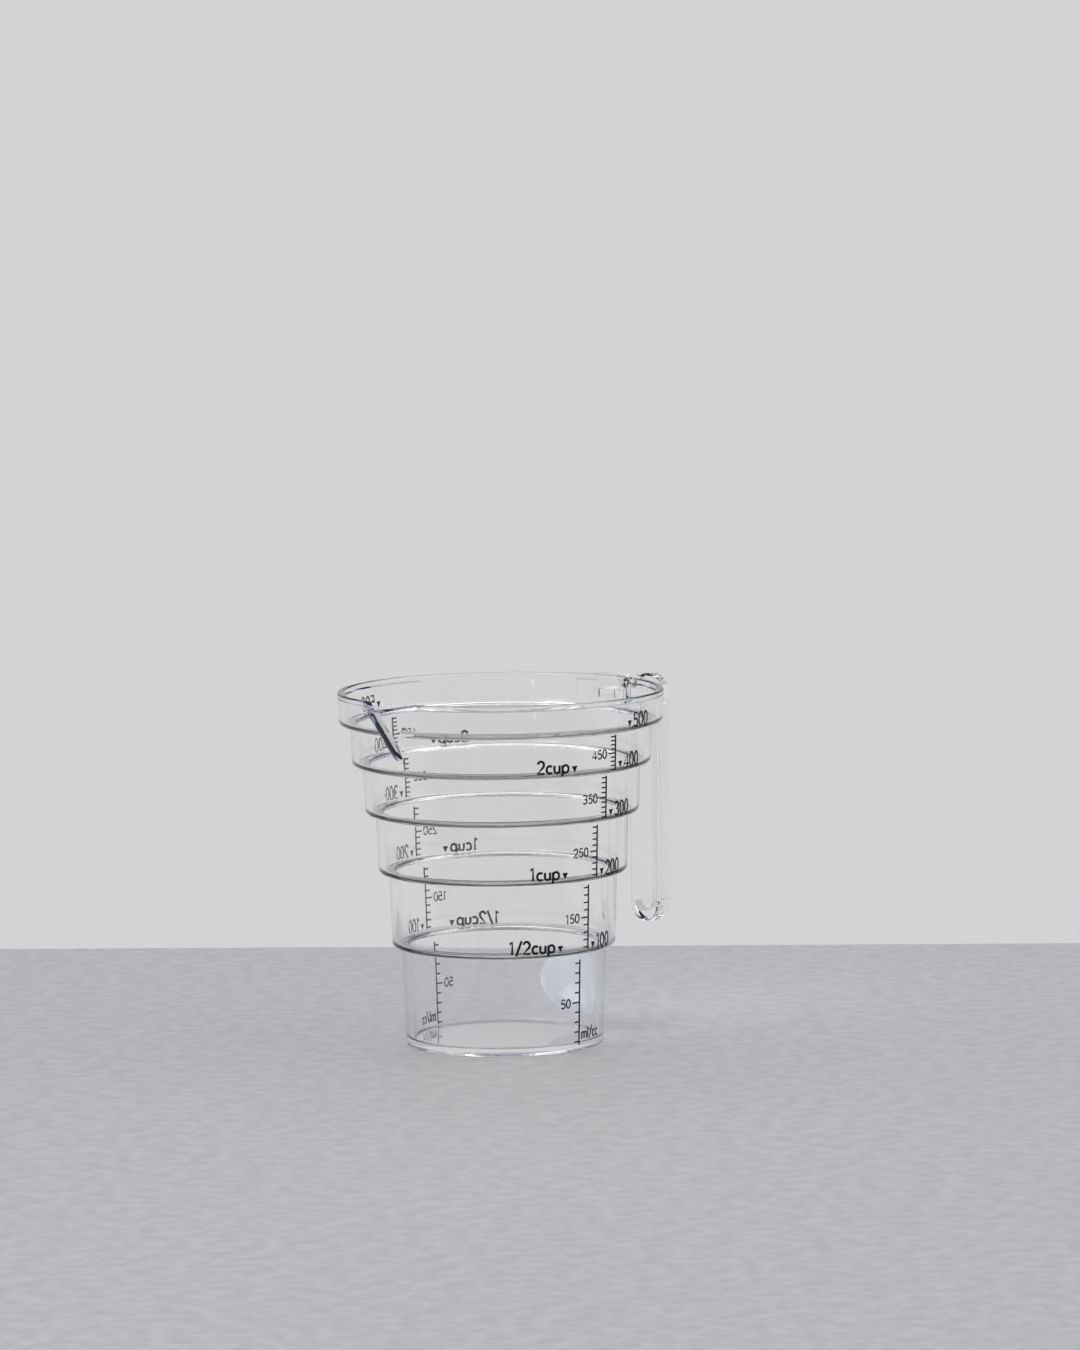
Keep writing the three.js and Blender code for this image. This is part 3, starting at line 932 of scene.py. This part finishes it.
GLYPHS = {
    "0": glyph(0.66, curve_points((0.27, 0.5), (0.24, 0.46), 90, 450, 28)),
    "1": glyph(0.46, [(0.02, 0.8), (0.2, 0.96), (0.2, 0.0)]),
    "2": glyph(0.64, [*curve_points((0.26, 0.69), (0.22, 0.27), 168, -38), (0.03, 0.04), (0.52, 0.04)]),
    "3": glyph(
        0.64,
        [
            *curve_points((0.25, 0.73), (0.2, 0.23), 155, -90),
            *curve_points((0.25, 0.27), (0.23, 0.23), 90, -150),
        ],
    ),
    "4": glyph(0.68, [(0.42, 0.0), (0.42, 0.94), (0.02, 0.25), (0.6, 0.25)]),
    "5": glyph(
        0.64,
        [(0.48, 0.96), (0.14, 0.96), (0.08, 0.52), *curve_points((0.26, 0.31), (0.24, 0.27), 125, -145)],
    ),
    "c": glyph(0.56, curve_points((0.27, 0.31), (0.23, 0.28), 48, 312)),
    "u": glyph(
        0.6,
        [(0.05, 0.6), *curve_points((0.24, 0.24), (0.19, 0.2), 180, 360), (0.43, 0.6)],
        [(0.43, 0.24), (0.43, 0.0)],
    ),
    "p": glyph(
        0.62,
        curve_points((0.29, 0.31), (0.23, 0.28), 0, 360, 24),
        [(0.05, 0.6), (0.05, -0.26)],
    ),
    "m": glyph(
        0.86,
        [(0.05, 0.6), (0.05, 0.0)],
        [*curve_points((0.21, 0.4), (0.16, 0.19), 180, 0), (0.37, 0.0)],
        [*curve_points((0.53, 0.4), (0.16, 0.19), 180, 0), (0.69, 0.0)],
    ),
    "l": glyph(0.26, [(0.05, 0.98), (0.05, 0.0)]),
    "/": glyph(0.5, [(0.02, -0.1), (0.4, 1.04)]),
}


@dataclass(frozen=True)
class Lettering:
    """A size and weight of print."""

    height: float
    stroke: float
    stretch: float

    def width(self, text: str) -> float:
        """The length of a line of text."""
        return sum(GLYPHS[letter].advance for letter in text) * self.height * self.stretch

    def flat(self, text: str, left: float, foot: float) -> bmesh.types.BMesh:
        """Draws text as flat ribbons.

        Args:
            text: What it says.
            left: Where it starts.
            foot: The height that it stands on.

        Returns:
            The flat letters, along X with Y up.
        """
        curve = bpy.data.curves.new("pen", "CURVE")
        curve.dimensions = "3D"
        curve.twist_mode = "Z_UP"
        curve.extrude = self.stroke / 2
        x = left
        for letter in text:
            for stroke in GLYPHS[letter].strokes:
                closed = math.dist(stroke[0], stroke[-1]) < TINY
                points = stroke[:-1] if closed else stroke
                spline = curve.splines.new("POLY")
                spline.points.add(len(points) - 1)
                spline.use_cyclic_u = closed
                for pen, (px, py) in zip(spline.points, points):
                    pen.co = (x + px * self.height * self.stretch, foot + py * self.height, 0, 1)
                    pen.tilt = math.pi / 2
            x += GLYPHS[letter].advance * self.height * self.stretch
        holder = bpy.data.objects.new("pen", curve)
        bpy.context.scene.collection.objects.link(holder)
        graph = bpy.context.evaluated_depsgraph_get()
        mesh = bpy.data.meshes.new_from_object(holder.evaluated_get(graph))
        bm = bmesh.new()
        bm.from_mesh(mesh)
        bpy.data.objects.remove(holder)
        return bm


class WallPrint:
    """Ink or paper that lies on the straight wall of one tier."""

    def __init__(self, cup: CupShape, tier: int, azimuth: float) -> None:
        """Chooses the place.

        Args:
            cup: The stepped wall.
            tier: The tier that it lies on.
            azimuth: Degrees from +X to its own X = 0.
        """
        self.cup = cup
        self.tier = tier
        self.azimuth = math.radians(azimuth)
        self.flat = bmesh.new()

    def add(self, other: bmesh.types.BMesh) -> None:
        """Adds flat shapes, which are used up.

        Args:
            other: The shapes.
        """
        mesh = bpy.data.meshes.new("flat")
        other.to_mesh(mesh)
        other.free()
        self.flat.from_mesh(mesh)
        bpy.data.meshes.remove(mesh)

    def bar(self, left: float, right: float, low: float, high: float) -> None:
        """Adds a rectangle.

        Args:
            left: Its left edge.
            right: Its right edge.
            low: Its lower edge.
            high: Its upper edge.
        """
        size = Matrix.Diagonal((right - left, high - low, 1, 1))
        place = Matrix.Translation(((left + right) / 2, (low + high) / 2, 0))
        bmesh.ops.create_grid(self.flat, x_segments=3, y_segments=1, size=0.5, matrix=place @ size)

    def pointer(self, x: float, tip: float, width: float, height: float) -> None:
        """Adds a small triangle that points down to its tip."""
        corners = ((x, tip), (x + width / 2, tip + height), (x - width / 2, tip + height))
        self.flat.faces.new([self.flat.verts.new((*corner, 0)) for corner in corners])

    def wrapped(self, name: str, gap: float, thickness: float) -> bpy.types.Object:
        """Gives the flat shapes their thickness and lays them round the wall.

        Args:
            name: The piece's name.
            gap: Space between the wall and the shapes.
            thickness: Their thickness.

        Returns:
            The piece, in millimetres.
        """
        bm = self.flat
        flats = list(bm.faces)
        for face in flats:
            face.normal_update()
            if face.normal.z < 0:
                face.normal_flip()
        grown = bmesh.ops.extrude_face_region(bm, geom=flats, use_keep_orig=True)
        raised = [v for v in grown["geom"] if isinstance(v, bmesh.types.BMVert)]
        bmesh.ops.translate(bm, vec=(0, 0, thickness), verts=raised)
        bmesh.ops.recalc_face_normals(bm, faces=bm.faces)
        for vert in bm.verts:
            along, height, depth = vert.co
            wall = self.cup.outer_radius(self.tier, height)
            angle = self.azimuth + along / wall
            radius = wall + gap + depth
            vert.co = (radius * math.cos(angle), radius * math.sin(angle), height)
        return new_object(bm, name)


@dataclass(frozen=True)
class PrintedScale:
    """The scale on one side: a line with ticks on each tier, pointers, numbers and words."""

    cup: CupShape
    side: Side
    step_ml: int = 100
    cup_measures: tuple[tuple[int, str, str], ...] = (
        (1, "1/2cup", "0.5"),
        (2, "1cup", "1"),
        (4, "2cup", "2"),
    )
    ticks: int = 10
    line_width: float = 0.7
    tick_height: float = 0.5
    short_tick: float = 2.2
    long_tick: float = 3.3
    overshoot: float = 0.35  # the line past its last ticks, in shares of a tick's space
    pointer_size: float = 2.2
    pointer_offset: float = 2.6
    number_gap: float = 2.1
    number_drop: float = 0.3
    small_gap: float = 0.5
    word_gap: float = 1.8
    word_lift: float = 0.1
    cup_turn: float = 17.4  # degrees from the line round to the left, to a cup's pointer
    cup_slant: float = 0.6  # degrees more for every step
    ink_gap: float = -0.015  # below zero: bonded into the wall, so that it shows from inside
    ink: float = 0.05
    slant: float = 0.22  # degrees that the whole scale turns for every tier
    big: Lettering = Lettering(4.9, 0.74, 1.0)
    small: Lettering = Lettering(3.1, 0.5, 1.1)
    word: Lettering = Lettering(4.4, 0.82, 1.08)
    units: Lettering = Lettering(3.9, 0.66, 1.0)
    units_text: str = "ml/cc"
    units_left: float = 1.2
    units_foot: float = 4.0

    @property
    def label(self) -> str:
        """The side's name in the part."""
        return self.side.name.lower()

    def on(self, tier: int, turn: float = 0.0) -> WallPrint:
        """Starts a print on a tier, turned left of the line by some degrees."""
        return WallPrint(self.cup, tier, self.side.value + self.slant * tier - turn)

    def comb(self, tier: int) -> WallPrint:
        """The line of one tier with its ticks.

        Args:
            tier: The tier, counted from the base.

        Returns:
            The print.
        """
        made = self.on(tier)
        low, high = self.cup.tier_feet[tier], self.cup.tier_feet[tier + 1]
        spacing = (high - low) / self.ticks
        half = self.line_width / 2
        ends = (1 - self.overshoot) * spacing
        made.bar(-half, half, low + ends, high - ends)
        for tick in range(1, self.ticks):
            reach = self.long_tick if 2 * tick == self.ticks else self.short_tick
            middle = low + tick * spacing
            made.bar(-reach, -half, middle - self.tick_height / 2, middle + self.tick_height / 2)
        return made

    def half_number(self, tier: int) -> WallPrint:
        """The small number at the long tick of a tier.

        Args:
            tier: The tier, counted from the base.

        Returns:
            The print.
        """
        made = self.on(tier)
        text = str(self.step_ml * tier + self.step_ml // 2)
        middle = (self.cup.tier_feet[tier] + self.cup.tier_feet[tier + 1]) / 2
        left = -self.long_tick - self.small_gap - self.small.width(text)
        made.add(self.small.flat(text, left, middle - self.small.height / 2))
        return made

    def step_mark(self, tier: int) -> WallPrint:
        """The pointer and number at a tier's ledge.

        Args:
            tier: The tier, counted from the base.

        Returns:
            The print.
        """
        made = self.on(tier)
        tip = self.cup.tier_feet[tier] + self.cup.edge_round
        made.pointer(self.pointer_offset, tip, self.pointer_size, self.pointer_size)
        left = self.pointer_offset + self.number_gap
        made.add(self.big.flat(str(self.step_ml * tier), left, tip - self.number_drop))
        return made

    def cup_mark(self, tier: int, text: str) -> WallPrint:
        """The word and pointer at a step that is also a measure in cups.

        Args:
            tier: The tier, counted from the base.
            text: The word.

        Returns:
            The print.
        """
        made = self.on(tier, self.cup_turn + self.cup_slant * tier)
        tip = self.cup.tier_feet[tier] + self.cup.edge_round
        made.pointer(0.0, tip, self.pointer_size, self.pointer_size)
        left = -self.word_gap - self.word.width(text)
        made.add(self.word.flat(text, left, tip + self.word_lift))
        return made

    def unit_word(self) -> WallPrint:
        """The units next to the foot of the line.

        Returns:
            The print.
        """
        made = self.on(0)
        made.add(self.units.flat(self.units_text, self.units_left, self.units_foot))
        return made

    def build(self, ink: bpy.types.Material) -> list[bpy.types.Object]:
        """Models and dresses every printed piece of this side.

        Args:
            ink: The ink's material.

        Returns:
            The pieces.
        """
        side = self.label
        pieces = []

        def put(print_: WallPrint, name: str, *replaced: str) -> None:
            """Wraps, dresses and keeps one piece."""
            piece = print_.wrapped(name, self.ink_gap, self.ink)
            pieces.append(dress(piece, ink, replaced))

        for tier in range(self.cup.steps):
            low, high = self.step_ml * tier, self.step_ml * (tier + 1)
            put(self.comb(tier), f"line_{side}_{low}_to_{high}", f"scale_{side}_{low}_to_{high}")
            put(self.half_number(tier), f"number_{side}_{(low + high) // 2}")
            put(self.step_mark(tier + 1), f"mark_{side}_{high}", f"pointer_{side}_{high}")
        for tier, text, node in self.cup_measures:
            put(self.cup_mark(tier, text), f"cups_{side}_{node}", f"cup_pointer_{side}_{node}")
        put(self.unit_word(), f"units_{side}")
        return pieces


@dataclass(frozen=True)
class OvalLabel:
    """A blank oval paper label on the base tier, under the handle."""

    cup: CupShape
    finish: LabelPaper = LabelPaper()
    length: float = 36.0
    width: float = 23.0
    height: float = 17.2
    azimuth: float = -10.5
    gap: float = 0.01
    thickness: float = 0.12
    rings: int = 10
    sides: int = 96

    def build(self) -> list[bpy.types.Object]:
        """Models and dresses the label.

        Returns:
            The one piece, in a list.
        """
        made = WallPrint(self.cup, 0, self.azimuth)
        bmesh.ops.create_circle(made.flat, cap_ends=True, radius=1.0, segments=self.sides)
        for _ in range(self.rings):
            centre = min(made.flat.faces, key=lambda face: face.calc_center_median().length)
            thickness = 1 / (self.rings + 1)
            bmesh.ops.inset_region(made.flat, faces=[centre], thickness=thickness, use_even_offset=True)
        size = Matrix.Diagonal((self.length / 2, self.width / 2, 1, 1))
        place = Matrix.Translation((0, self.height, 0))
        bmesh.ops.transform(made.flat, matrix=place @ size, verts=made.flat.verts)
        piece = made.wrapped("oval_paper_label", self.gap, self.thickness)
        return [dress(piece, self.finish.make(), ["oval_label"])]


# Studio


@dataclass(frozen=True)
class SoftLamp:
    """A lamp: its place as the viewer sees it, right and away, then its height, size and watts."""

    name: str
    place: Point
    height: float
    size: Point
    power: float


@dataclass(frozen=True)
class Studio:
    """A pale table with a paler surface behind it, soft lamps and the photograph's camera."""

    turn: float = math.radians(47.8)
    camera_side: float = 13.37
    camera_back: float = -2133.8
    camera_height: float = 352.3
    pitch: float = math.radians(6.096)
    roll: float = math.radians(0.782)
    near_and_far: Point = (0.05, 100.0)
    focal_px: float = 6383.0  # focal length in the photograph's pixels
    picture_height_px: float = 1350.0
    sensor: float = 36.0
    lamps: tuple[SoftLamp, ...] = (
        SoftLamp(name="key", place=(-1200, -1250), height=1150, size=(700, 900), power=12.0),
        SoftLamp(name="fill", place=(1100, -300), height=1100, size=(1500, 1500), power=6.0),
        SoftLamp(name="back", place=(-200, 1200), height=1500, size=(1900, 1300), power=8.0),
    )
    lamp_colour: Colour = (1.0, 0.99, 0.98)
    lamp_aim: float = 60.0
    table_back: float = 216.0
    table_turn: float = math.radians(3.2)
    table_front: float = 540.0
    table_length: float = 480.0
    table_gap: float = 0.06
    table_roughness: float = 0.5
    table_gloss: float = 0.35
    table_unevenness: float = 0.1
    table_grain: float = 0.05
    mottle: Pattern = Pattern(scale=160.0, detail=5.0, limits=(0.3, 0.7))
    weave: Pattern = Pattern(scale=900.0, detail=3.0)
    table_colour: Colour = srgb(190, 191, 192)
    table_shade: Colour = srgb(177, 178, 179)
    back_colour: Colour = srgb(211, 210, 212)
    front_colour: Colour = srgb(172, 173, 176)
    # Between these two the room turns from its pale back to its greyer front.
    front_reach: Point = (-0.4, -0.2)  # cosines of the angles from straight away
    window_colour: Colour = srgb(80, 108, 144)
    window_low: float = math.radians(18)
    window_high: float = math.radians(38)
    window_half: float = math.radians(22)
    window_blur: float = 0.07

    def from_view(self, x: float, y: float, z: float) -> Vector:
        """Turns a point as the viewer sees it, X right and Y away, into the part's frame in metres."""
        return Matrix.Rotation(-self.turn, 3, "Z") @ Vector((x, y, z)) * MM

    def camera(self) -> None:
        """Makes the camera."""
        data = bpy.data.cameras.new("camera")
        data.sensor_width = self.sensor
        data.lens = self.sensor * self.focal_px / self.picture_height_px
        data.clip_start, data.clip_end = self.near_and_far
        camera = bpy.data.objects.new("camera", data)
        ahead = Vector((0, math.cos(self.pitch), -math.sin(self.pitch)))
        up = Vector((0, math.sin(self.pitch), math.cos(self.pitch)))
        right = Vector((1, 0, 0))
        c, s = math.cos(self.roll), math.sin(self.roll)
        axes = Matrix((right * c - up * s, right * s + up * c, -ahead)).transposed()
        turned = Matrix.Rotation(-self.turn, 3, "Z") @ axes
        place = self.from_view(self.camera_side, self.camera_back, self.camera_height)
        camera.matrix_world = Matrix.Translation(place) @ turned.to_4x4()
        bpy.context.scene.collection.objects.link(camera)
        bpy.context.scene.camera = camera

    def light(self, lamp: SoftLamp) -> None:
        """Makes one lamp, which faces the cup.

        Args:
            lamp: The lamp's size, place and power.
        """
        data = bpy.data.lights.new(lamp.name, "AREA")
        data.shape = "RECTANGLE"
        data.size, data.size_y = lamp.size[0] * MM, lamp.size[1] * MM
        data.energy = lamp.power
        data.color = self.lamp_colour
        made = bpy.data.objects.new(lamp.name, data)
        made.location = self.from_view(*lamp.place, lamp.height)
        aim = Vector((0, 0, self.lamp_aim * MM)) - made.location
        made.rotation_euler = aim.to_track_quat("-Z", "Y").to_euler()
        bpy.context.scene.collection.objects.link(made)

    def floor(self) -> None:
        """Makes the table, which runs to the left and right, with its back edge behind the cup."""
        bm = bmesh.new()
        depth = self.table_back + self.table_front
        size = Matrix.Diagonal((self.table_length * MM, depth * MM, 1, 1))
        middle = self.from_view(0, (self.table_back - self.table_front) / 2, -self.table_gap)
        turn = Matrix.Rotation(-self.turn - self.table_turn, 4, "Z")
        place = Matrix.Translation(middle) @ turn @ size
        bmesh.ops.create_grid(bm, x_segments=1, y_segments=1, size=0.5, matrix=place)
        floor = new_object(bm, "table")
        material = bpy.data.materials.new("table")
        graph = Graph(material)
        weave = graph.clouds(self.weave)
        inputs = {
            "Base Color": graph.blend(graph.clouds(self.mottle), self.table_colour, self.table_shade),
            "Roughness": weave * self.table_unevenness + self.table_roughness,
            "Normal": graph.bump(weave, self.table_grain),
            "Specular IOR Level": self.table_gloss,
        }
        graph.output(graph.add("ShaderNodeBsdfPrincipled", inputs=inputs))
        floor.data.materials.append(material)

    def world(self) -> None:
        """Makes the room: pale, a little greyer in front, with a blue-grey window high up behind.

        The window is only seen where the cup bends a ray, as the dark lines along its ledges.
        """
        world = bpy.data.worlds.new("room")
        bpy.context.scene.world = world
        graph = Graph(world)
        direction = graph.add("ShaderNodeTexCoord", out="Generated")
        height = graph.add("ShaderNodeSeparateXYZ", inputs={0: direction}, out="Z")
        turn = Matrix.Rotation(-self.turn, 3, "Z")
        dot = {"operation": "DOT_PRODUCT"}
        away, right = (
            graph.add("ShaderNodeVectorMath", dot, {0: direction, 1: turn @ Vector(axis)}, "Value")
            for axis in ((0, 1, 0), (1, 0, 0))
        )
        behind = away.smooth_step(-self.window_blur, self.window_blur)
        edge, outside = math.sin(self.window_half) ** 2, math.sin(2 * self.window_half) ** 2
        across = 1 - (right * right).smooth_step(edge, outside)
        low, high = math.sin(self.window_low), math.sin(self.window_high)
        above = height.smooth_step(low - self.window_blur, low)
        below = 1 - height.smooth_step(high, high + self.window_blur)
        room = graph.blend(away.smooth_step(*self.front_reach), self.front_colour, self.back_colour)
        seen = graph.blend(above * below * across * behind, room, self.window_colour)
        graph.output(graph.add("ShaderNodeBackground", inputs={"Color": seen, "Strength": 1.0}))

    def build(self) -> None:
        """Makes the whole studio."""
        scene = bpy.context.scene
        scene.view_settings.view_transform = "Standard"
        self.camera()
        self.floor()
        self.world()
        for lamp in self.lamps:
            self.light(lamp)


def main() -> None:
    """Builds the cup and its studio."""
    logging.basicConfig(level=logging.INFO, format="%(message)s")
    cup = CupShape()
    ink = PrintInk().make()
    pieces = ClearMoulding(cup, ClearPlastic()).build()
    for side in Side:
        pieces += PrintedScale(cup, side).build(ink)
    pieces += OvalLabel(cup).build()
    Studio().build()
    for piece in pieces:
        log.info("%s: %d faces", piece.name, len(piece.data.polygons))


if __name__ == "__main__":
    main()
